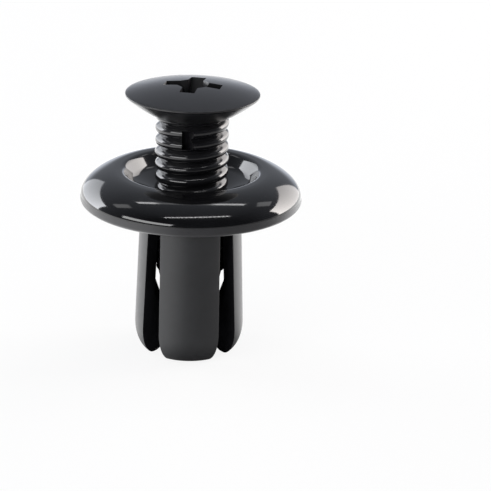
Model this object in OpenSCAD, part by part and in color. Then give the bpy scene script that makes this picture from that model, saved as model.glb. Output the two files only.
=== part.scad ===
// Trim clip: a split plastic grommet and the cross-recess screw that spreads its legs.
// Millimetres, +Z along the screw, seat of the flange at Z = 0, screw in its raised position.

/* [Flange] */
// Outer diameter of the flange
flange_d = 17.75; // [16:0.25:24]
// Height from the seat to the top of the dome
flange_h = 2.7; // [2.4:0.1:3.6]
// Height at which the rim reaches its full diameter
edge_rise = 0.4; // [0.2:0.05:0.7]
// Height of the upright band round the rim
band_h = 0.45; // [0.2:0.05:0.8]
// Distance that the rim draws in from the band down to the seat
edge_inset = 0.65; // [0.3:0.05:0.9]
// Width of the level crest between the recess and the fall of the dome
crest_w = 0.6; // [0.3:0.05:1]
// Fullness of the dome, where 1 is an ellipse and more is leaner
dome_power = 1.2; // [1:0.05:1.4]
// Inward draw of the recess's steep wall
wall_draw = 0.75; // [0.4:0.05:0.75]
// Height of the recess's wall from its floor to the crest
wall_h = 1.1; // [0.9:0.05:1.2]
// Length of crest and of wall that the rounded lip between them takes
lip_reach = 0.3; // [0.1:0.05:0.4]
// Length of wall and of floor that the rounded corner between them takes
corner_reach = 0.3; // [0.1:0.05:0.5]
// Width of the seat ring left round the hollow underside
seat_w = 0.9; // [0.6:0.05:1.4]
// Depth of the hollow in the underside
hollow_depth = 0.6; // [0.3:0.05:0.8]
// Width of the solid ring between the barrel and the hollow
root_w = 1.2; // [0.8:0.1:1.6]

/* [Barrel and legs] */
// Diameter of the barrel where it fills the panel hole
barrel_d = 8.2; // [7.8:0.1:9]
// Length of the unslotted collar under the seat
collar_h = 1.5; // [1:0.1:2.5]
// Length from the seat to the tips of the legs
leg_len = 12.6; // [12:0.1:16]
// Distance that each leg stands out at the start of its nose
splay = 0.25; // [0.1:0.01:0.4]
// Width of the slots at the collar
slot_w = 1.4; // [1:0.05:1.6]
// Height of the rounded nose
nose_h = 2.35; // [1.5:0.05:3]
// Inward draw of the nose on its outer side
nose_draw = 1.25; // [0.8:0.05:1.5]
// Height of the rounding on the inner side of the nose
nose_lip = 0.45; // [0.2:0.05:0.8]
// Distance from the seat to the start of the inner ramp
ramp_start = 6.6; // [5.5:0.1:7.5]
// Length of the inner ramp
ramp_len = 1.5; // [1:0.1:2]
// Inner diameter of the closed legs below the ramp
grip_d = 4.7; // [4.4:0.1:5.2]
// Number of grip grooves inside each leg
groove_count = 3; // [1:1:3]
// Depth of a grip groove
groove_depth = 0.2; // [0.1:0.05:0.3]
// Width of a grip groove at its mouth
groove_w = 0.6; // [0.4:0.05:0.75]

/* [Head] */
// Diameter of the head
head_d = 10.65; // [9.8:0.05:11.5]
// Rise of the domed top above the rim
head_rise = 0.78; // [0.5:0.02:1.1]
// Thickness of the rim
head_edge = 0.14; // [0.08:0.02:0.3]
// Depth of the curved underside below the rim
head_depth = 1.6; // [1.3:0.05:1.8]
// Bulge of the underside below a straight cone
head_bulge = 0.1; // [0.04:0.01:0.2]

/* [Cross recess] */
// Span of the cross recess
cross_span = 4.7; // [4:0.1:5.4]
// Width of a wing
cross_w = 1.2; // [0.9:0.05:1.4]
// Depth of the recess below the top of the dome
cross_depth = 2.0; // [1.5:0.05:2.3]
// Span of the wings at the bottom
cross_floor = 2.4; // [1.8:0.1:3]
// Diameter of the recess's round core near the top of the dome
cross_core = 2.7; // [2.2:0.05:3]
// Diameter of the round core at its bottom
core_floor = 1.3; // [1:0.05:1.6]
// Depth of the round core below the wings
core_extra = 0.25; // [0.1:0.05:0.4]
// Turn of the recess about the axis in degrees
cross_turn = -12; // [-45:1:45]

/* [Threaded shank] */
// Major diameter of the thread
thread_d = 5.9; // [5.6:0.05:6.2]
// Height of the thread
thread_h = 0.38; // [0.2:0.01:0.45]
// Pitch of the thread
thread_pitch = 1; // [0.8:0.05:1.25]
// Distance from the rim of the head to the end of the thread
shank_len = 14.7; // [13:0.1:15]
// Length of the plain tapered tip
tip_len = 3.6; // [3:0.1:4.5]
// Diameter at the end of the tip
tip_d = 3.8; // [3:0.1:4.4]
// Height of the rounding at the end of the tip
tip_round = 0.6; // [0.3:0.05:1]
// Diameter of the flat that ends the tip
tip_flat = 1.6; // [0.8:0.1:2.4]
// Width of the locking notch
notch_w = 1; // [0.7:0.05:1.4]
// Height of the locking notch
notch_h = 1.5; // [1:0.05:2]
// Depth of the locking notch below the crest of the thread
notch_depth = 0.75; // [0.5:0.05:1]
// Width of the notch's level floor, from which its far wall slants out
notch_floor = 0.4; // [0.2:0.05:0.6]
// Distance from the rim of the head to the top of the notch
notch_drop = 2.2; // [2:0.1:5]
// Turn of the notch from the front in degrees
notch_turn = -6; // [-45:1:45]
// Turn of the thread's start in degrees
thread_turn = 133; // [0:1:359]

/* [Fits] */
// Radial gap between the thread and the bore
bore_gap = 0.06; // [0.03:0.01:0.1]
// Radial gap between the head and the rim of its recess
rim_gap = 0.15; // [0.08:0.01:0.25]
// Gap between the driven head and the floor of its recess
seat_gap = 0.05; // [0.02:0.01:0.1]
// Depth of the driven head's rim below the crest of the flange
head_sink = 0.13; // [0.05:0.01:0.3]
// Height of the raised screw above its driven position
lift = 6.3; // [5.5:0.1:6.6]

/* [Hidden] */
$fn = 96;
eps = 0.01;
arc_steps = 16;
cut_over = 2;

flange_r = flange_d / 2;
head_r = head_d / 2;
thread_r = thread_d / 2;
core_r = thread_r - thread_h;
bore_r = thread_r + bore_gap;
barrel_r = barrel_d / 2;
grip_r = grip_d / 2;
recess_r = head_r + rim_gap;
crest_r = recess_r + crest_w;
band_top = edge_rise + band_h;
leg_r = barrel_r + splay;
nose_z = -leg_len + nose_h;
nose_r = leg_r - nose_draw;
splay_slope = splay / (-collar_h - nose_z);
slot_taper = splay * sqrt(2);
rim_z_driven = flange_h - head_sink;
rim_z = rim_z_driven + lift;

// Points of a quarter of a superellipse from [a, 0] to [0, b]
function quarter(a, b, power, steps) =
    [for (i = [0 : steps]) let (t = 90 * i / steps) [a * pow(cos(t), power), b * pow(sin(t), power)]];

function moved(points, r, z) = [for (p = points) [p[0] + r, p[1] + z]];

// Points that round the corner b between a and c, starting and ending at a reach from it
function rounded_corner(a, b, c, reach, steps) =
    let (p = b + reach * (a - b) / norm(a - b), q = b + reach * (c - b) / norm(c - b))
    [for (i = [0 : steps]) let (t = i / steps) (1 - t) * (1 - t) * p + 2 * t * (1 - t) * b + t * t * q];

function reversed(points) = [for (i = [len(points) - 1 : -1 : 0]) points[i]];

// Depth of the head's underside below its rim at radius r
function under_depth(r) =
    let (u = (head_r - r) / (head_r - thread_r))
    head_depth * u + 4 * head_bulge * u * (1 - u);

// Outline of the underside from the rim in to the thread's major radius
function under_line(steps) =
    [for (i = [0 : steps]) let (r = head_r - (head_r - thread_r) * i / steps) [r, -under_depth(r)]];

// Outline of the domed top from its middle out to the rim
function dome_line(steps) =
    let (ball_r = (head_r * head_r + head_rise * head_rise) / (2 * head_rise))
    [for (i = [0 : steps]) let (r = head_r * i / steps) [r, head_rise - ball_r + sqrt(ball_r * ball_r - r * r)]];

// Section of the flange above its seat with the recess for the head
module flange_section() {
    dome = moved(quarter(flange_r - crest_r, flange_h - band_top, dome_power, arc_steps), crest_r, band_top);
    crest = [crest_r, flange_h];
    wall_top = [recess_r, flange_h];
    wall_foot = wall_top - [wall_draw, wall_h];
    bore_edge = [bore_r, rim_z_driven - seat_gap - head_depth];
    edge = moved([for (p = quarter(edge_inset, edge_rise, 1, arc_steps / 2)) [p[0], -p[1]]],
        flange_r - edge_inset, edge_rise);
    polygon(concat(
        [[bore_r, 0]],
        reversed(edge),
        dome,
        rounded_corner(crest, wall_top, wall_foot, lip_reach, arc_steps / 2),
        rounded_corner(wall_top, wall_foot, bore_edge, corner_reach, arc_steps / 2),
        [bore_edge]
    ));
}

// Section of the barrel and one leg from the seat down to the nose
module leg_section() {
    ramp_r = bore_r + splay_slope * (ramp_start - collar_h);
    outer_nose = moved([for (p = quarter(nose_draw, nose_h, 1, arc_steps)) [p[0], -p[1]]], nose_r, nose_z);
    inner_nose = moved([for (p = quarter(nose_r - grip_r, nose_lip, 1, arc_steps)) [-p[0], -p[1]]], nose_r, -leg_len + nose_lip);
    polygon(concat(
        [[bore_r, eps], [barrel_r, eps], [barrel_r, -collar_h]],
        outer_nose,
        [for (i = [arc_steps - 1 : -1 : 0]) inner_nose[i]],
        [[grip_r, -ramp_start - ramp_len], [ramp_r, -ramp_start], [bore_r, -collar_h]]
    ));
}

// Ring groove that grips the thread inside the closed legs
module grip_groove() {
    rotate_extrude()
        translate([grip_r - eps, 0])
            polygon([[0, groove_w / 2], [groove_depth + eps, 0], [0, -groove_w / 2]]);
}

// One slot across the barrel, widening with the splay of the legs
module leg_slot() {
    foot = leg_len + eps;
    top_half = slot_w / 2;
    foot_half = (slot_w + slot_taper * (foot - collar_h) / (-collar_h - nose_z)) / 2;
    rotate([90, 0, 0])
        linear_extrude(height = 2 * (leg_r + cut_over), center = true)
            polygon([[-top_half, -collar_h], [top_half, -collar_h], [foot_half, -foot], [-foot_half, -foot]]);
}

// Hollow under the flange that leaves a seat ring at its rim
module underside_hollow() {
    outer = flange_r - edge_inset - seat_w;
    inner = barrel_r + root_w;
    rotate_extrude()
        polygon([[inner, -eps], [outer, -eps], [outer - hollow_depth / 2, hollow_depth],
                 [inner + hollow_depth / 2, hollow_depth]]);
}

module grommet() {
    color([0.06, 0.06, 0.065])
        difference() {
            union() {
                rotate_extrude() flange_section();
                rotate_extrude() leg_section();
            }
            underside_hollow();
            for (turn = [45, 135]) rotate([0, 0, turn]) leg_slot();
            for (i = [1 : groove_count])
                translate([0, 0, -ramp_start - ramp_len - i * thread_pitch]) grip_groove();
        }
}

// Head with its curved underside as one revolved section, the rim's lower edge at Z = 0
module head_section() {
    polygon(concat(
        [[0, -head_depth]],
        reversed(under_line(arc_steps)),
        reversed(moved(dome_line(arc_steps), 0, head_edge))
    ));
}

// Plain tapered tip from the end of the thread to its rounded end
module tip_section() {
    end_round = moved(quarter((tip_d - tip_flat) / 2, tip_round, 1, arc_steps / 2), tip_flat / 2, 0);
    end_z = -shank_len - tip_len;
    plain_r = core_r + plain_step;
    polygon(concat(
        [[0, thread_start + thread_pitch + end_lap], [plain_r, thread_start + thread_pitch + end_lap],
         [plain_r, -shank_len]],
        [for (p = end_round) [p[0], end_z + tip_round - p[1]]],
        [[0, end_z]]
    ));
}

// Two crossed tapering wings and a round core that goes a little deeper
module cross_recess() {
    top = head_edge + head_rise;
    over = cross_depth / 2;
    wide = cross_span / 2 + (cross_span - cross_floor) / 4;
    for (turn = [0, 90])
        rotate([0, 0, turn])
            rotate([90, 0, 0])
                linear_extrude(height = cross_w, center = true)
                    polygon([[-wide, top + over], [-cross_floor / 2, top - cross_depth],
                             [cross_floor / 2, top - cross_depth], [wide, top + over]]);
    translate([0, 0, top - cross_depth - core_extra])
        cylinder(h = cross_depth + core_extra, d1 = core_floor, d2 = cross_core);
}

// Number of sides round the thread, and its profile over one pitch as [share of the pitch, share of the height]
thread_sides = 36;
thread_profile = [[0, 0], [0.4, 1], [0.54, 1], [0.94, 0]];
rows = len(thread_profile);

// Turns over which the thread rises at its lower end, after the half turn that is kept plain for the seam
rise_turns = 0.4;
// Turns over which it fades out in the head, the share that is left at the underside, and where it is gone
fade_turns = 0.4;
neck_share = 0.8;
neck_z = -head_depth + neck_share * fade_turns * thread_pitch;
// Reach of the plain lower end into the tip, its draw per unit of height, and the step that hides it in the shank
end_reach = 0.6;
end_draw = 0.25;
plain_step = 0.03;
end_lap = 0.1;
thread_turns = floor((neck_z + shank_len + end_reach) / thread_pitch);
thread_start = neck_z - thread_turns * thread_pitch;

// Share of the thread's full height after a number of turns
function fade(turns) = max(0, min(1, (turns - 0.5) / rise_turns, (thread_turns - turns) / fade_turns));

// Radius under the thread at a height, drawn in over the first turn
function root_r(z) = core_r - end_draw * max(0, thread_start + thread_pitch - z);

// Right-handed helicoid: rows of points climb one pitch a turn between two flat ends
module threaded_core() {
    sides = thread_sides;
    total = rows * thread_turns;
    bottom = thread_start - eps;
    top = neck_z + thread_pitch + end_lap;
    helix = [for (k = [0 : total], j = [0 : sides - 1])
        let (row = thread_profile[k % rows],
             turns = floor(k / rows) + row[0] + j / sides,
             z = thread_start + turns * thread_pitch,
             r = root_r(z) + thread_h * row[1] * fade(turns),
             a = 360 * j / sides)
        [r * cos(a), r * sin(a), z]];
    ring_low = [for (j = [0 : sides - 1])
        [root_r(bottom) * cos(360 * j / sides), root_r(bottom) * sin(360 * j / sides), bottom]];
    ring_high = [for (j = [0 : sides - 1]) [core_r * cos(360 * j / sides), core_r * sin(360 * j / sides), top]];
    low = len(helix);
    high = low + sides;
    // Index of a point of the helix, where the step past the last side joins the next turn
    function at(k, j) = j < sides ? k * sides + j : (k + rows) * sides + j - sides;
    walls = [for (k = [0 : total - 1], j = [0 : sides - 1])
        if (j < sides - 1 || k + 1 + rows <= total)
        for (tri = [[at(k, j), at(k + 1, j + 1), at(k, j + 1)], [at(k, j), at(k + 1, j), at(k + 1, j + 1)]]) tri];
    skirt_low = [for (j = [0 : sides - 2]) [low + j, at(0, j), at(0, j + 1), low + j + 1]];
    skirt_high = [for (j = [0 : sides - 2]) [high + j, high + j + 1, at(total, j + 1), at(total, j)]];
    seam_low = [concat([low + sides - 1, at(0, sides - 1)], [for (k = [rows : -1 : 0]) at(k, 0)], [low])];
    seam_high = [concat([high, at(total, 0)], [for (k = [total - rows : total]) at(k, sides - 1)], [high + sides - 1])];
    caps = [[for (j = [0 : sides - 1]) low + j], [for (j = [sides - 1 : -1 : 0]) high + j]];
    polyhedron(concat(helix, ring_low, ring_high), concat(walls, skirt_low, skirt_high, seam_low, seam_high, caps));
}

// Pocket at the front of the thread that locks the raised screw
module lock_notch() {
    rotate([0, 0, notch_turn])
        translate([-notch_w / 2, -thread_r - cut_over, -notch_drop - notch_h])
            linear_extrude(height = notch_h)
                polygon([[0, 0], [notch_w, 0], [notch_w, cut_over], [notch_floor, cut_over + notch_depth],
                         [0, cut_over + notch_depth]]);
}

module screw() {
    color([0.09, 0.09, 0.095])
        translate([0, 0, rim_z])
            difference() {
                union() {
                    rotate_extrude() head_section();
                    rotate_extrude() tip_section();
                    rotate([0, 0, thread_turn]) threaded_core();
                }
                rotate([0, 0, cross_turn]) cross_recess();
                lock_notch();
            }
}

grommet();
screw();
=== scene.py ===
import math

import bmesh
import bpy
from mathutils import Matrix, Vector


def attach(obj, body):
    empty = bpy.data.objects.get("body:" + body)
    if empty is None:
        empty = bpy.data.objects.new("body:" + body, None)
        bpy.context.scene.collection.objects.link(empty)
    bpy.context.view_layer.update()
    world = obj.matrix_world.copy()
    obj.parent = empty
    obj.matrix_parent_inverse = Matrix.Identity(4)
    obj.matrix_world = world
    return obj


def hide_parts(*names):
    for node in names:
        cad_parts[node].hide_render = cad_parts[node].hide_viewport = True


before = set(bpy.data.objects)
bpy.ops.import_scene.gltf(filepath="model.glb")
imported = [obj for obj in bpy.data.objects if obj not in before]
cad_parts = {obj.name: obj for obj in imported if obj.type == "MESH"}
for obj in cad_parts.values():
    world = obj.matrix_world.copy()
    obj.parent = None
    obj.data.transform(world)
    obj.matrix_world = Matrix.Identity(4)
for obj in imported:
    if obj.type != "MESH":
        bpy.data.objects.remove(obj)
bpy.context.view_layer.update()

# All sizes of the clip are in millimetres, and each finished mesh is scaled to metres once.
MM = 0.001
ROUND_STEPS = 144
MERGE_DIST = 1e-5
# How far past an edge a face's middle may lie and still count as inside it.
NEAR = 0.001
# A face with a larger area than this is a flat one, and is shaded flat.
FLAT_AREA = 1.2
SHARP_ANGLE = math.radians(32)

# Flange
FLANGE_R = 8.875
FLANGE_H = 2.7
EDGE_RISE = 0.4
EDGE_INSET = 0.65
BAND_TOP = 0.85
DOME_POWER = 1.2
DOME_STEPS = 40
CORNER_STEPS = 12
SEAT_W = 0.9
HOLLOW_DEPTH = 0.6
ROOT_W = 1.2

# Barrel and legs, whose sections are spun over LEG_SPAN degrees before the slots trim them
BARREL_R = 4.1
BORE_R = 3.01
COLLAR_H = 1.5
LEG_LEN = 12.6
LEG_SPAN = 100
LEG_STEPS = 40
SIDE_STEPS = 6
LEG_SOFTENING = 0.07
LEG_SHARP = math.radians(40)
OUTER_FACING = 0.25
SPLAY = 0.33
SLOT_W = 1.4
SLOT_ANGLE = math.radians(45)
NOSE_H = 2.35
NOSE_DRAW = 1.25
NOSE_LIP = 0.45
NOSE_Z = -LEG_LEN + NOSE_H
NOSE_R = BARREL_R + SPLAY - NOSE_DRAW
RAMP_START = 7.4
RAMP_LEN = 1.5
GRIP_R = 2.35
GROOVES = 3
GROOVE_DEPTH = 0.2
GROOVE_W = 0.6

# Head of the screw, with the screw's heights counted from the lower edge of its rim
RIM_Z = 8.87
HEAD_R = 5.325
HEAD_RISE = 0.78
HEAD_EDGE = 0.14
HEAD_DEPTH = 1.6
HEAD_BULGE = 0.1
HEAD_STEPS = 28
UNDER_STEPS = 24
RIM_ROUND = 0.05
RIM_MARGIN = 0.06

# Recess in the flange that takes the head, with a steeper mouth at the bore
RIM_GAP = 0.15
SEAT_GAP = 0.05
HEAD_SINK = 0.13
CREST_W = 0.6
WALL_DRAW = 0.75
WALL_H = 1.1
LIP_REACH = 0.3
CORNER_REACH = 0.3
MOUTH_W = 0.74
MOUTH_H = 0.394

# Cross in the head: two tapered slots and a deeper core
CROSS_SPAN = 4.7
CROSS_W = 1.2
CROSS_DEPTH = 2.0
CROSS_FLOOR = 2.4
CROSS_TURN = -12
CORE_TOP = 2.7
CORE_FLOOR = 1.3
CORE_EXTRA = 0.25
CORE_LAP = 0.005
CORE_SIDES = 8

# Thread, shank and tip
THREAD_R = 2.95
THREAD_H = 0.38
CORE_R = THREAD_R - THREAD_H
CREST_ROUND = 0.4
FLANK_TILT = math.radians(50)
PITCH = 1.0
PITCH_STEPS = 24
ROOT_SHIFT = 0.03
THREAD_LOW = -16.28
THREAD_TURN = 133
THREAD_TURNS = 17
THREAD_STEPS = 72
THREAD_MERGE = 1e-4
FADE_START = 0.1
FADE_LEN = 0.35
SHANK_LEN = 14.7
SHANK_LAP = 0.25
TIP_LEN = 3.6
TIP_R = 1.9
TIP_ROUND = 0.6
TIP_FLAT = 0.8
TIP_LAP = 0.02
TIP_INSET = 0.004

# Locking notch across the thread
NOTCH_TURN = -6
NOTCH_DROP = 2.2
NOTCH_H = 1.5
NOTCH_HALF = 0.5
NOTCH_DEPTH = 0.75
NOTCH_CORNER = -0.1
NOTCH_MARGIN = 0.05
# Direction square to the notch's slanted wall, and the cosine that counts as facing it.
NOTCH_SLANT = Vector((-0.8, -0.6, 0))
STRAIGHT = 0.999


# Outlines

def quarter(a, b, power, steps):
    """Points of a quarter of a superellipse from (a, 0) to (0, b)."""
    out = []
    for i in range(steps + 1):
        t = math.radians(90 * i / steps)
        out.append((a * max(math.cos(t), 0) ** power, b * max(math.sin(t), 0) ** power))
    return out


def arc(cx, cz, r, start, end, steps):
    """Points of an arc in the section plane, with its angles in degrees."""
    out = []
    for i in range(steps + 1):
        t = math.radians(start + (end - start) * i / steps)
        out.append((cx + r * math.cos(t), cz + r * math.sin(t)))
    return out


def rounded_corner(a, b, c, reach, steps):
    """Points that round the corner b between a and c."""
    a, b, c = Vector(a), Vector(b), Vector(c)
    p = b + (a - b).normalized() * reach
    q = b + (c - b).normalized() * reach
    shares = [i / steps for i in range(steps + 1)]
    return [tuple((1 - t) ** 2 * p + 2 * t * (1 - t) * b + t * t * q) for t in shares]


def under_depth(r):
    """Depth of the head's underside below its rim."""
    u = (HEAD_R - r) / (HEAD_R - THREAD_R)
    return HEAD_DEPTH * u + 4 * HEAD_BULGE * u * (1 - u)


def under_line(steps):
    """Underside of the head from its rim in to the thread."""
    radii = [HEAD_R - (HEAD_R - THREAD_R) * i / steps for i in range(steps + 1)]
    return [(r, -under_depth(r)) for r in radii]


def dome_height(r):
    """Height of the head's domed top above its edge."""
    ball = (HEAD_R ** 2 + HEAD_RISE ** 2) / (2 * HEAD_RISE)
    return HEAD_RISE - ball + math.sqrt(ball * ball - r * r)


# Mesh tools

def chain(bm, points, closed=True):
    """Draws an outline of (radius, height) points in the XZ plane."""
    verts = [bm.verts.new((r, 0, z)) for r, z in points]
    pairs = list(zip(verts, verts[1:]))
    if closed:
        pairs.append((verts[-1], verts[0]))
    return verts, [bm.edges.new(pair) for pair in pairs]


def revolve(points, closed=True):
    """Spins an outline into a full ring about Z."""
    bm = bmesh.new()
    verts, edges = chain(bm, points, closed)
    bmesh.ops.spin(bm, geom=verts + edges, cent=(0, 0, 0), axis=(0, 0, 1), dvec=(0, 0, 0),
                   angle=math.tau, steps=ROUND_STEPS, use_merge=True, use_duplicate=False)
    bmesh.ops.remove_doubles(bm, verts=bm.verts, dist=MERGE_DIST)
    bmesh.ops.recalc_face_normals(bm, faces=bm.faces)
    return bm


def block(points, way):
    """A solid block that starts as a flat outline and reaches along a way."""
    bm = bmesh.new()
    face = bm.faces.new([bm.verts.new(point) for point in points])
    grown = bmesh.ops.extrude_face_region(bm, geom=[face])
    moved = [v for v in grown["geom"] if isinstance(v, bmesh.types.BMVert)]
    bmesh.ops.translate(bm, vec=way, verts=moved)
    return bm


def turn_about_z(bm, degrees):
    """Turns a whole mesh about the clip's axis."""
    matrix = Matrix.Rotation(math.radians(degrees), 3, "Z")
    bmesh.ops.rotate(bm, cent=(0, 0, 0), matrix=matrix, verts=bm.verts)


def cut(bm, point, normal):
    """Cuts off what lies on the normal's side of a plane and closes the cut."""
    geom = bm.verts[:] + bm.edges[:] + bm.faces[:]
    made = bmesh.ops.bisect_plane(bm, geom=geom, dist=MERGE_DIST, plane_co=point, plane_no=normal,
                                  clear_outer=True)
    edges = [e for e in made["geom_cut"] if isinstance(e, bmesh.types.BMEdge) and e.is_boundary]
    bmesh.ops.edgenet_fill(bm, edges=edges, mat_nr=0, use_smooth=False, sides=0)


def soften(bm, edges, offset):
    """Rounds a set of edges."""
    bmesh.ops.bevel(bm, geom=edges, offset=offset, offset_type="OFFSET", segments=2, profile=0.5,
                    affect="EDGES", clamp_overlap=True, material=-1)


def merged(parts):
    """Puts several bmeshes into one."""
    whole = bmesh.new()
    for part in parts:
        mesh = bpy.data.meshes.new("part")
        part.to_mesh(mesh)
        part.free()
        whole.from_mesh(mesh)
        bpy.data.meshes.remove(mesh)
    return whole


def carve(bm, cutter):
    """Takes the cutter's solid out of the mesh."""
    holders = []
    for name, source in (("body", bm), ("cutter", cutter)):
        bmesh.ops.recalc_face_normals(source, faces=source.faces)
        mesh = bpy.data.meshes.new(name)
        source.to_mesh(mesh)
        source.free()
        holder = bpy.data.objects.new(name, mesh)
        bpy.context.scene.collection.objects.link(holder)
        holders.append(holder)
    body, tool = holders
    modifier = body.modifiers.new("carve", "BOOLEAN")
    modifier.operation = "DIFFERENCE"
    modifier.solver = "EXACT"
    modifier.object = tool
    graph = bpy.context.evaluated_depsgraph_get()
    result = bpy.data.meshes.new_from_object(body.evaluated_get(graph))
    carved = bmesh.new()
    carved.from_mesh(result)
    bpy.data.meshes.remove(result)
    for holder in holders:
        mesh = holder.data
        bpy.data.objects.remove(holder)
        bpy.data.meshes.remove(mesh)
    return carved


def finished(name, bm, finishes, body, node):
    """Makes the piece's object from a mesh in millimetres."""
    for face in bm.faces:
        face.smooth = face.calc_area() < FLAT_AREA
    bmesh.ops.scale(bm, vec=(MM, MM, MM), verts=bm.verts)
    mesh = bpy.data.meshes.new(name)
    bm.to_mesh(mesh)
    bm.free()
    for finish in finishes:
        mesh.materials.append(finish)
    mesh.set_sharp_from_angle(angle=SHARP_ANGLE)
    piece = bpy.data.objects.new(name, mesh)
    bpy.context.scene.collection.objects.link(piece)
    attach(piece, body)
    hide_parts(node)


# Shader tools

class Value:
    """A socket that can be used in a sum."""

    def __init__(self, socket):
        self.socket = socket
        self.tree = socket.id_data

    def made(self, operation, first, second=None, clamp=False):
        node = self.tree.nodes.new("ShaderNodeMath")
        node.operation = operation
        node.use_clamp = clamp
        for entry, value in zip(node.inputs, (first, second)):
            plug(self.tree, entry, value)
        return Value(node.outputs[0])

    def __add__(self, other):
        return self.made("ADD", self, other)

    __radd__ = __add__

    def __sub__(self, other):
        return self.made("SUBTRACT", self, other)

    def __rsub__(self, other):
        return self.made("SUBTRACT", other, self)

    def __mul__(self, other):
        return self.made("MULTIPLY", self, other)

    __rmul__ = __mul__

    def __truediv__(self, other):
        return self.made("DIVIDE", self, other)

    def __pow__(self, other):
        return self.made("POWER", self, other)

    def most(self, other):
        return self.made("MAXIMUM", self, other)

    def step(self, low, high):
        """Zero below low and one above high."""
        return self.made("MULTIPLY", self - low, 1 / (high - low), clamp=True)


def plug(tree, entry, value):
    """Links a socket or sets its number or colour."""
    if value is None:
        return
    if isinstance(value, Value):
        tree.links.new(value.socket, entry)
    else:
        entry.default_value = value


class Shader:
    """A node tree, with one method for every node that isn't a sum."""

    def __init__(self, tree):
        self.tree = tree
        tree.nodes.clear()

    def node(self, kind, settings=None, inputs=None, output=0):
        node = self.tree.nodes.new("ShaderNode" + kind)
        for key, value in (settings or {}).items():
            setattr(node, key, value)
        for key, value in (inputs or {}).items():
            plug(self.tree, node.inputs[key], value)
        return Value(node.outputs[output]) if node.outputs else None

    def noise(self, place, size_mm, detail, rough):
        return self.node("TexNoise", None, {"Vector": place, "Scale": 1 / (size_mm * MM), "Detail": detail,
                                            "Roughness": rough}, "Fac")

    def mixed(self, share, first, second):
        node = self.tree.nodes.new("ShaderNodeMix")
        node.data_type = "RGBA"
        plug(self.tree, node.inputs[0], share)
        plug(self.tree, node.inputs[6], first)
        plug(self.tree, node.inputs[7], second)
        return Value(node.outputs[2])

    def split(self, vector):
        """The three parts of a vector."""
        node = self.tree.nodes.new("ShaderNodeSeparateXYZ")
        plug(self.tree, node.inputs[0], vector)
        return [Value(output) for output in node.outputs]

    def rays(self):
        """Masks of the rays that come from the eye and of those that gloss sends on."""
        node = self.tree.nodes.new("ShaderNodeLightPath")
        return Value(node.outputs["Is Camera Ray"]), Value(node.outputs["Is Glossy Ray"])


# Sizes of the clouds and the waves in the plastic, in millimetres
CLOUD_SIZE = 2.2
WAVE_SIZE = 3.0


def plastic(name, dark, light, rough, rough_spread, wave, grain, grain_size, specular=0.5):
    """Black moulded plastic: slow waves from the mould, a fine grain, and faint clouds in colour and gloss.

    The heights of the waves and the grain, and the size of the grain, are in millimetres.
    """
    material = bpy.data.materials.new(name)
    material.use_nodes = True
    shader = Shader(material.node_tree)
    place = shader.node("TexCoord", None, None, "Object")
    clouds = shader.noise(place, CLOUD_SIZE, 3.0, 0.6)
    fine = shader.noise(place, grain_size, 2.0, 0.6)
    slow = shader.noise(place, WAVE_SIZE, 1.0, 0.4)
    colour = shader.mixed(clouds.step(0.3, 0.7), (*dark, 1), (*light, 1))
    roughness = rough + (clouds - 0.5) * rough_spread + (fine - 0.5) * rough_spread
    height = slow * (wave * MM) + fine * (grain * MM)
    bump = shader.node("Bump", None, {"Strength": 1.0, "Distance": 1.0, "Height": height})
    surface = shader.node("BsdfPrincipled", None, {
        "Base Color": colour, "Roughness": roughness, "IOR": 1.5, "Specular IOR Level": specular, "Normal": bump})
    shader.node("OutputMaterial", None, {"Surface": surface})
    return material


gloss = plastic("glossy flange", (0.003, 0.003, 0.0034), (0.0045, 0.0045, 0.0052), rough=0.08,
                rough_spread=0.03, wave=0.003, grain=0.0001, grain_size=0.5)
band = plastic("matte rim", (0.012, 0.012, 0.014), (0.017, 0.017, 0.020), rough=0.36,
               rough_spread=0.08, wave=0.002, grain=0.0020, grain_size=0.5)
satin = plastic("satin legs", (0.010, 0.0105, 0.012), (0.015, 0.0155, 0.018), rough=0.46,
                rough_spread=0.08, wave=0.002, grain=0.0016, grain_size=0.5)
# Painted shade: a darker copy of the satin plastic without gloss, for the faces in the slots and the notch
slot_shade_finish = plastic("slot faces with painted shade", (0.008, 0.008, 0.009), (0.012, 0.012, 0.014), rough=0.6,
                      rough_spread=0.08, wave=0.002, grain=0.0016, grain_size=0.5, specular=0.0)
head_finish = plastic("satin head", (0.006, 0.006, 0.007), (0.010, 0.010, 0.0115), rough=0.30,
                      rough_spread=0.06, wave=0.002, grain=0.0012, grain_size=0.10, specular=0.47)
thread_finish = plastic("polished thread", (0.006, 0.006, 0.007), (0.009, 0.009, 0.010), rough=0.15,
                        rough_spread=0.05, wave=0.002, grain=0.0006, grain_size=0.5)


# Grommet: flange and collar as one ring, then four legs cut from a spun section

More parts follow.
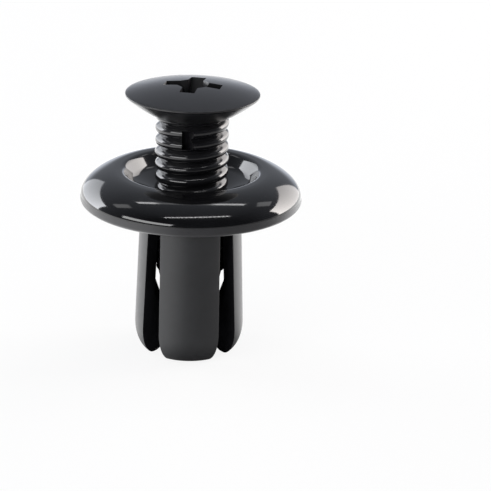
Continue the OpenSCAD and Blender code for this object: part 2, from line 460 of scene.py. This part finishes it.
def flange_outline():
    """Section of the flange and collar, from the bore's lower end outwards and back over the top."""
    recess_r = HEAD_R + RIM_GAP
    crest_r = recess_r + CREST_W
    wall_top = (recess_r, FLANGE_H)
    wall_foot = (recess_r - WALL_DRAW, FLANGE_H - WALL_H)
    bore_edge = (BORE_R, FLANGE_H - HEAD_SINK - SEAT_GAP - HEAD_DEPTH)
    slope = (wall_foot[1] - bore_edge[1]) / (wall_foot[0] - bore_edge[0])
    mouth_top = (BORE_R + MOUTH_W, bore_edge[1] + MOUTH_W * slope)
    mouth = [mouth_top, (BORE_R, mouth_top[1] - MOUTH_H)]
    edge = [(FLANGE_R - EDGE_INSET + x, EDGE_RISE - z) for x, z in quarter(EDGE_INSET, EDGE_RISE, 1, 10)]
    dome = [(crest_r + x, BAND_TOP + z)
            for x, z in quarter(FLANGE_R - crest_r, FLANGE_H - BAND_TOP, DOME_POWER, DOME_STEPS)]
    lip = rounded_corner((crest_r, FLANGE_H), wall_top, wall_foot, LIP_REACH, CORNER_STEPS)
    recess = rounded_corner(wall_top, wall_foot, bore_edge, CORNER_REACH, CORNER_STEPS) + mouth
    seat_in = FLANGE_R - EDGE_INSET - SEAT_W
    hollow_in = BARREL_R + ROOT_W
    below = [(BORE_R, -COLLAR_H), (BARREL_R, -COLLAR_H), (BARREL_R, 0), (hollow_in, 0),
             (hollow_in + HOLLOW_DEPTH / 2, HOLLOW_DEPTH), (seat_in - HOLLOW_DEPTH / 2, HOLLOW_DEPTH), (seat_in, 0)]
    return below + edge[::-1] + dome + lip + recess


def leg_outline():
    """Section of a leg, down its outside, round its nose, and up past the grooves and the ramp."""
    slope = SPLAY / (-COLLAR_H - NOSE_Z)
    ramp_r = BORE_R + slope * (RAMP_START - COLLAR_H)
    outer = [(NOSE_R + x, NOSE_Z - z) for x, z in quarter(NOSE_DRAW, NOSE_H, 1, 20)]
    inner = [(NOSE_R - x, -LEG_LEN + NOSE_LIP - z) for x, z in quarter(NOSE_R - GRIP_R, NOSE_LIP, 1, 8)]
    grooves = []
    for i in range(GROOVES, 0, -1):
        z = -RAMP_START - RAMP_LEN - i * PITCH
        grooves += [(GRIP_R, z - GROOVE_W / 2), (GRIP_R + GROOVE_DEPTH, z), (GRIP_R, z + GROOVE_W / 2)]
    down = [(BARREL_R + SPLAY * i / SIDE_STEPS, -COLLAR_H + (NOSE_Z + COLLAR_H) * i / SIDE_STEPS)
            for i in range(SIDE_STEPS)]
    up = [(GRIP_R, -RAMP_START - RAMP_LEN), (ramp_r, -RAMP_START), (BORE_R, -COLLAR_H)]
    return down + outer + inner[-2::-1] + grooves + up


def leg():
    """One leg at +X: its section spun over a quarter turn and cut by the two slots."""
    bm = bmesh.new()
    verts, edges = chain(bm, leg_outline())
    face = bm.faces.new(verts)
    turn_about_z(bm, -LEG_SPAN / 2)
    bmesh.ops.spin(bm, geom=verts + edges + [face], cent=(0, 0, 0), axis=(0, 0, 1), dvec=(0, 0, 0),
                   angle=math.radians(LEG_SPAN), steps=LEG_STEPS, use_merge=False, use_duplicate=False)
    bmesh.ops.remove_doubles(bm, verts=bm.verts, dist=MERGE_DIST)
    bmesh.ops.recalc_face_normals(bm, faces=bm.faces)
    lean = SPLAY / math.sqrt(2) / (-COLLAR_H - NOSE_Z)
    for side in (1, -1):
        across = Vector((-math.sin(SLOT_ANGLE), side * math.cos(SLOT_ANGLE), 0))
        normal = (across + Vector((0, 0, -lean))).normalized()
        cut(bm, across * (-SLOT_W / 2) + Vector((0, 0, -COLLAR_H)), normal)
    bm.normal_update()
    sharp = [e for e in bm.edges if e.is_manifold and e.calc_face_angle(0) > LEG_SHARP
             and max(v.co.z for v in e.verts) < -COLLAR_H - NEAR]
    soften(bm, sharp, LEG_SOFTENING)
    return bm


def grommet():
    """Grommet with its glossy top, matte rim, satin outside, and slots in a darker finish without gloss that paints
    their shade.
    """
    ring = revolve(flange_outline())
    for face in ring.faces:
        middle = face.calc_center_median()
        on_rim = math.hypot(middle.x, middle.y) > FLANGE_R - EDGE_INSET - SEAT_W
        face.material_index = 0 if middle.z > BAND_TOP - NEAR else 1 if on_rim else 2
    parts = [ring]
    for i in range(4):
        one = leg()
        turn_about_z(one, 90 * i)
        one.normal_update()
        for face in one.faces:
            middle = face.calc_center_median()
            outward = Vector((middle.x, middle.y, 0)).normalized().dot(face.normal)
            # Faces that don't face outwards, the slots' sides, take the finish with painted shade
            face.material_index = 2 if outward > OUTER_FACING else 3
        parts.append(one)
    finishes = [gloss, band, satin, slot_shade_finish]
    finished("grommet_moulding", merged(parts), finishes, "grommet", "grommet")


# Screw: head with its cross, threaded shank with the locking notch, and the tip

def head():
    """Head with its thin rim, conical underside, low dome and cross."""
    under = [(r, z) for r, z in under_line(UNDER_STEPS) if r < HEAD_R - RIM_MARGIN]
    rim_r = HEAD_R - RIM_ROUND
    rim = arc(rim_r, RIM_ROUND, RIM_ROUND, -50, 0, 4)
    rim += arc(rim_r, HEAD_EDGE - RIM_ROUND, RIM_ROUND, 0, 65, 5)
    radii = [HEAD_R * i / HEAD_STEPS for i in range(HEAD_STEPS - 1, -1, -1)]
    dome = [(r, HEAD_EDGE + dome_height(r)) for r in radii]
    solid = revolve([(0, -HEAD_DEPTH)] + under[::-1] + rim + dome, closed=False)
    top = HEAD_EDGE + HEAD_RISE
    reach = CROSS_SPAN / 2 + (CROSS_SPAN - CROSS_FLOOR) / 4
    wing = [(-reach, top + CROSS_DEPTH / 2), (-CROSS_FLOOR / 2, top - CROSS_DEPTH),
            (CROSS_FLOOR / 2, top - CROSS_DEPTH), (reach, top + CROSS_DEPTH / 2)]
    for quarter_turn in (0, 90):
        slot = block([(x, -CROSS_W / 2, z) for x, z in wing], (0, CROSS_W, 0))
        turn_about_z(slot, CROSS_TURN + quarter_turn)
        solid = carve(solid, slot)
    core = bmesh.new()
    depth = CROSS_DEPTH + CORE_EXTRA
    bmesh.ops.create_cone(core, cap_ends=True, segments=CORE_SIDES, radius1=CORE_FLOOR / 2, radius2=CORE_TOP / 2,
                          depth=depth, matrix=Matrix.Translation((0, 0, top - depth / 2 + CORE_LAP)))
    turn_about_z(core, CROSS_TURN + 180 / CORE_SIDES)
    return carve(solid, core)


def thread_outline():
    """One pitch of the thread: a sharp root, straight flanks and a rounded crest."""
    out = []
    reach = CREST_ROUND * math.sin(FLANK_TILT)
    for i in range(PITCH_STEPS + 1):
        t = i / PITCH_STEPS * PITCH
        aside = abs(t - PITCH / 2)
        along = min(aside, reach)
        h = THREAD_H - CREST_ROUND + math.sqrt(CREST_ROUND ** 2 - along ** 2)
        h -= (aside - along) * math.tan(FLANK_TILT)
        out.append((CORE_R + h, t - ROOT_SHIFT))
    return out


def shank():
    """Threaded shank: the thread fades in above the tip, and the notch cuts it at the front."""
    bm = bmesh.new()
    verts, edges = chain(bm, [(r, z + THREAD_LOW) for r, z in thread_outline()], closed=False)
    bmesh.ops.spin(bm, geom=verts + edges, cent=(0, 0, 0), axis=(0, 0, 1), dvec=(0, 0, PITCH / THREAD_STEPS),
                   angle=math.tau * THREAD_TURNS, steps=THREAD_STEPS * THREAD_TURNS, use_merge=False,
                   use_duplicate=False)
    bmesh.ops.remove_doubles(bm, verts=bm.verts, dist=THREAD_MERGE)
    fade_start = -SHANK_LEN + FADE_START
    for vert in bm.verts:
        r = math.hypot(vert.co.x, vert.co.y)
        share = min(1.0, max(0.0, (vert.co.z - fade_start) / FADE_LEN))
        factor = (CORE_R + (r - CORE_R) * share) / r
        vert.co.x *= factor
        vert.co.y *= factor
    cut(bm, Vector((0, 0, -HEAD_DEPTH + SHANK_LAP)), Vector((0, 0, 1)))
    cut(bm, Vector((0, 0, -SHANK_LEN)), Vector((0, 0, -1)))
    bmesh.ops.recalc_face_normals(bm, faces=bm.faces)
    turn_about_z(bm, THREAD_TURN)
    outside, inside = -THREAD_R - 1, -THREAD_R + NOTCH_DEPTH
    outline = [(-NOTCH_HALF, outside), (-NOTCH_HALF, inside), (NOTCH_CORNER, inside),
               (NOTCH_HALF, -THREAD_R - NOTCH_MARGIN), (NOTCH_HALF, outside)]
    notch = block([(x, y, -NOTCH_DROP - NOTCH_H) for x, y in outline], (0, 0, NOTCH_H))
    turn_about_z(notch, NOTCH_TURN)
    return carve(bm, notch)


def tip():
    """Tapered tip with a rounded end, which laps into the shank."""
    end = -SHANK_LEN - TIP_LEN
    rounded = [(TIP_FLAT + x, end + TIP_ROUND - z) for x, z in quarter(TIP_R - TIP_FLAT, TIP_ROUND, 1, 10)]
    wide, lap = CORE_R - TIP_INSET, -SHANK_LEN + TIP_LAP
    return revolve([(0, lap), (wide, lap), (wide, -SHANK_LEN)] + rounded + [(0, end)], closed=False)


def screw():
    """Lifted screw, with the notch's slanted wall finished as the head and its other faces in the darker finish
    without gloss that paints the notch's shade.
    """
    parts = [head(), shank(), tip()]
    for part, index in zip(parts, (0, 1, 1)):
        for face in part.faces:
            face.material_index = index
    turned = Matrix.Rotation(math.radians(-NOTCH_TURN), 3, "Z")
    parts[1].normal_update()
    for face in parts[1].faces:
        middle = turned @ face.calc_center_median()
        facing = turned @ face.normal
        height = abs(middle.z + NOTCH_DROP + NOTCH_H / 2)
        if middle.y > 0 or abs(middle.x) > NOTCH_HALF + NEAR or height > NOTCH_H / 2 + NEAR:
            continue
        if abs(facing.dot(NOTCH_SLANT)) > STRAIGHT:
            face.material_index = 0
        elif max(abs(share) for share in facing) > STRAIGHT:
            # The notch's other flat faces take the finish with painted shade
            face.material_index = 2
    whole = merged(parts)
    bmesh.ops.translate(whole, vec=(0, 0, RIM_Z), verts=whole.verts)
    finishes = [head_finish, thread_finish, slot_shade_finish]
    finished("screw_moulding", whole, finishes, "screw", "screw")


grommet()
screw()


# Camera: where the seat's centre lies in the frame, its scale there, and the view's tilt
FRAME_PX = 491
DISTANCE = 0.150
ELEVATION = math.radians(19.3)
PX_PER_MM = 12.43
CENTRE_PX = (191.0, 200.9)
ROLL = math.radians(-1.0)
SENSOR_MM = 36

focal_px = PX_PER_MM * DISTANCE / MM
eye = Vector((0, -math.cos(ELEVATION), math.sin(ELEVATION))) * DISTANCE
offset = Vector(((CENTRE_PX[0] - FRAME_PX / 2) / focal_px, (FRAME_PX / 2 - CENTRE_PX[1]) / focal_px, -1))
aim = (-eye).to_track_quat("-Z", "Y").to_matrix()
tilt = Matrix.Rotation(-ROLL, 3, "Z")
turn = offset.normalized().rotation_difference(Vector((0, 0, -1))).to_matrix()
camera_data = bpy.data.cameras.new("camera")
camera_data.sensor_width = SENSOR_MM
camera_data.lens = SENSOR_MM * focal_px / FRAME_PX
camera_data.clip_start = 0.01
camera_data.clip_end = 10
camera = bpy.data.objects.new("camera", camera_data)
camera.matrix_world = Matrix.Translation(eye) @ (aim @ tilt @ turn).to_4x4()
bpy.context.scene.collection.objects.link(camera)
bpy.context.scene.camera = camera


# Floor under the legs, in metres: white to the eye with the clip's shadow kept, and glowing with painted light that
# only the gloss sees, brighter behind the clip and at its sides than in front
FLOOR_HALF = 0.6
FLOOR_WHITE = 0.88
# Strengths of the painted glow that glossy rays see on the floor: in front, behind, at the left and at the right
FRONT_PAINTED_GLOW = 0.65
REAR_PAINTED_GLOW = 1.4
LEFT_PAINTED_GLOW = 1.7
RIGHT_PAINTED_GLOW = 0.6
# Radii within which the painted glow is cut to nothing and beyond which it is full: painted shade on the floor near
# the clip
DARK_R, LIT_R = 0.003, 0.007


def floor():
    """Plane under the legs, white to the eye. In the gloss it glows with painted light, and close to the axis,
    where the slots look down on it, that glow is taken away as painted shade.
    """
    bm = bmesh.new()
    bmesh.ops.create_grid(bm, x_segments=8, y_segments=8, size=FLOOR_HALF)
    bmesh.ops.translate(bm, vec=(0, 0, -LEG_LEN * MM), verts=bm.verts)
    mesh = bpy.data.meshes.new("floor")
    bm.to_mesh(mesh)
    bm.free()
    material = bpy.data.materials.new("white floor")
    material.use_nodes = True
    shader = Shader(material.node_tree)
    seen, mirrored = shader.rays()
    x, y, _ = shader.split(shader.node("TexCoord", None, None, "Object"))
    away = (x * x + y * y) ** 0.5 + 0.0001
    rear = (y / away).step(-0.1, 0.5)
    left = (0 - x / away).step(0.1, 0.7)
    right = (x / away).step(0.3, 0.9)
    behind = (rear * (right * RIGHT_PAINTED_GLOW + REAR_PAINTED_GLOW)).most(left * LEFT_PAINTED_GLOW)
    # Painted light: the floor glows for glossy rays by place, and not near the axis, where painted shade stands in
    # for the shade under the clip
    painted_glow = (FRONT_PAINTED_GLOW + behind) * away.step(DARK_R, LIT_R)
    paint = shader.node("BsdfDiffuse", None, {"Color": (0.8, 0.8, 0.8, 1)})
    glow = shader.node("Emission", None, {"Color": (1, 1, 1, 1), "Strength": seen + mirrored * painted_glow})
    surface = shader.node("MixShader", None, {0: seen * FLOOR_WHITE + mirrored, 1: paint, 2: glow})
    shader.node("OutputMaterial", None, {"Surface": surface})
    mesh.materials.append(material)
    piece = bpy.data.objects.new("floor", mesh)
    bpy.context.scene.collection.objects.link(piece)


floor()


# Lamps: a softbox at each side, tubes above, and small lamps that give the lesser reflections
LAMP_AWAY = 0.35
TUBE_LAMPS = 15
WARM, COOL, WHITE = (1.0, 0.95, 0.92), (0.96, 0.98, 1.02), (1.0, 1.0, 1.0)


def softbox(name, place, width, height, glow, colour=WHITE, grade=None):
    """A rectangular lamp that faces the clip, with its brightness as seen from there, graded along its width."""
    data = bpy.data.lights.new(name, "AREA")
    data.shape = "RECTANGLE"
    data.size = width
    data.size_y = height
    data.energy = glow * math.pi * width * height
    data.color = colour
    if grade:
        data.use_nodes = True
        shader = Shader(data.node_tree)
        u = shader.split(shader.node("NewGeometry", None, None, "Parametric"))[0]
        emission = shader.node("Emission", None, {"Strength": grade(u)})
        shader.node("OutputLight", None, {"Surface": emission})
    lamp = bpy.data.objects.new(name, data)
    lamp.location = place
    lamp.rotation_mode = "QUATERNION"
    lamp.rotation_quaternion = (-Vector(place)).to_track_quat("-Z", "Y")
    bpy.context.scene.collection.objects.link(lamp)


def around(azimuth, elevation):
    """Place at an azimuth from the back, clockwise from above, and an elevation, in degrees."""
    a, e = math.radians(azimuth), math.radians(elevation)
    return Vector((math.sin(a) * math.cos(e), math.cos(a) * math.cos(e), math.sin(e))) * LAMP_AWAY


def brighter_end(u):
    """Brighter towards the end where u is one."""
    return 0.4 + u * 0.45 + u * u * 1.5


def brighter_start(u):
    """Brighter towards the end where u is zero."""
    return brighter_end(1 - u)


def two_ends(u):
    """A tube whose middle is shaded."""
    return 0.22 + (u - 0.74).step(0, 0.06) * 1.1 + (0.36 - u).step(0, 0.06)


def row_of_lamps(u):
    """A strip of small lamps, side by side."""
    return 1 + u.made("SINE", u * (math.tau * TUBE_LAMPS)) * 0.6


# Each lamp's name, place, width, height, glow, colour and grading
softbox("left softbox", around(-50, 6), 0.32, 0.30, 4.7, COOL, brighter_end)
softbox("right softbox", around(55, 7), 0.35, 0.34, 6.6, WARM, brighter_start)
softbox("rear tube", (0.0, 0.12, 0.36), 0.36, 0.026, 6.0, grade=two_ends)
softbox("front tube", (0.03, -0.155, 0.36), 0.36, 0.022, 9.5, grade=row_of_lamps)
softbox("low strip", around(-134, 19), 0.34, 0.09, 7.5)
softbox("left bounce", around(-77, 46), 0.055, 0.09, 1.6)
softbox("right bounce", around(62, 45), 0.060, 0.07, 1.5)


def surround():
    """World that is white to the eye and dim elsewhere, with a bright backdrop low behind the clip in the gloss."""
    world = bpy.data.worlds.new("surround")
    world.use_nodes = True
    bpy.context.scene.world = world
    sky = Shader(world.node_tree)
    seen, mirrored = sky.rays()
    _, back, up = sky.split(sky.node("TexCoord", None, None, "Generated"))
    backdrop = mirrored * back.step(0.85, 0.97) * (1 - up.step(0.08, 0.2))
    level = back.step(-0.5, 0.7) * 0.42 + 0.07 + up.step(0.75, 0.95) * 0.12
    strength = seen + (1 - seen) * (level + backdrop)
    tint = sky.mixed(seen, (0.90, 0.95, 1.06, 1), (1, 1, 1, 1))
    background = sky.node("Background", None, {"Color": tint, "Strength": strength})
    sky.node("OutputWorld", None, {"Surface": background})


surround()

scene = bpy.context.scene
scene.view_settings.view_transform = "Standard"
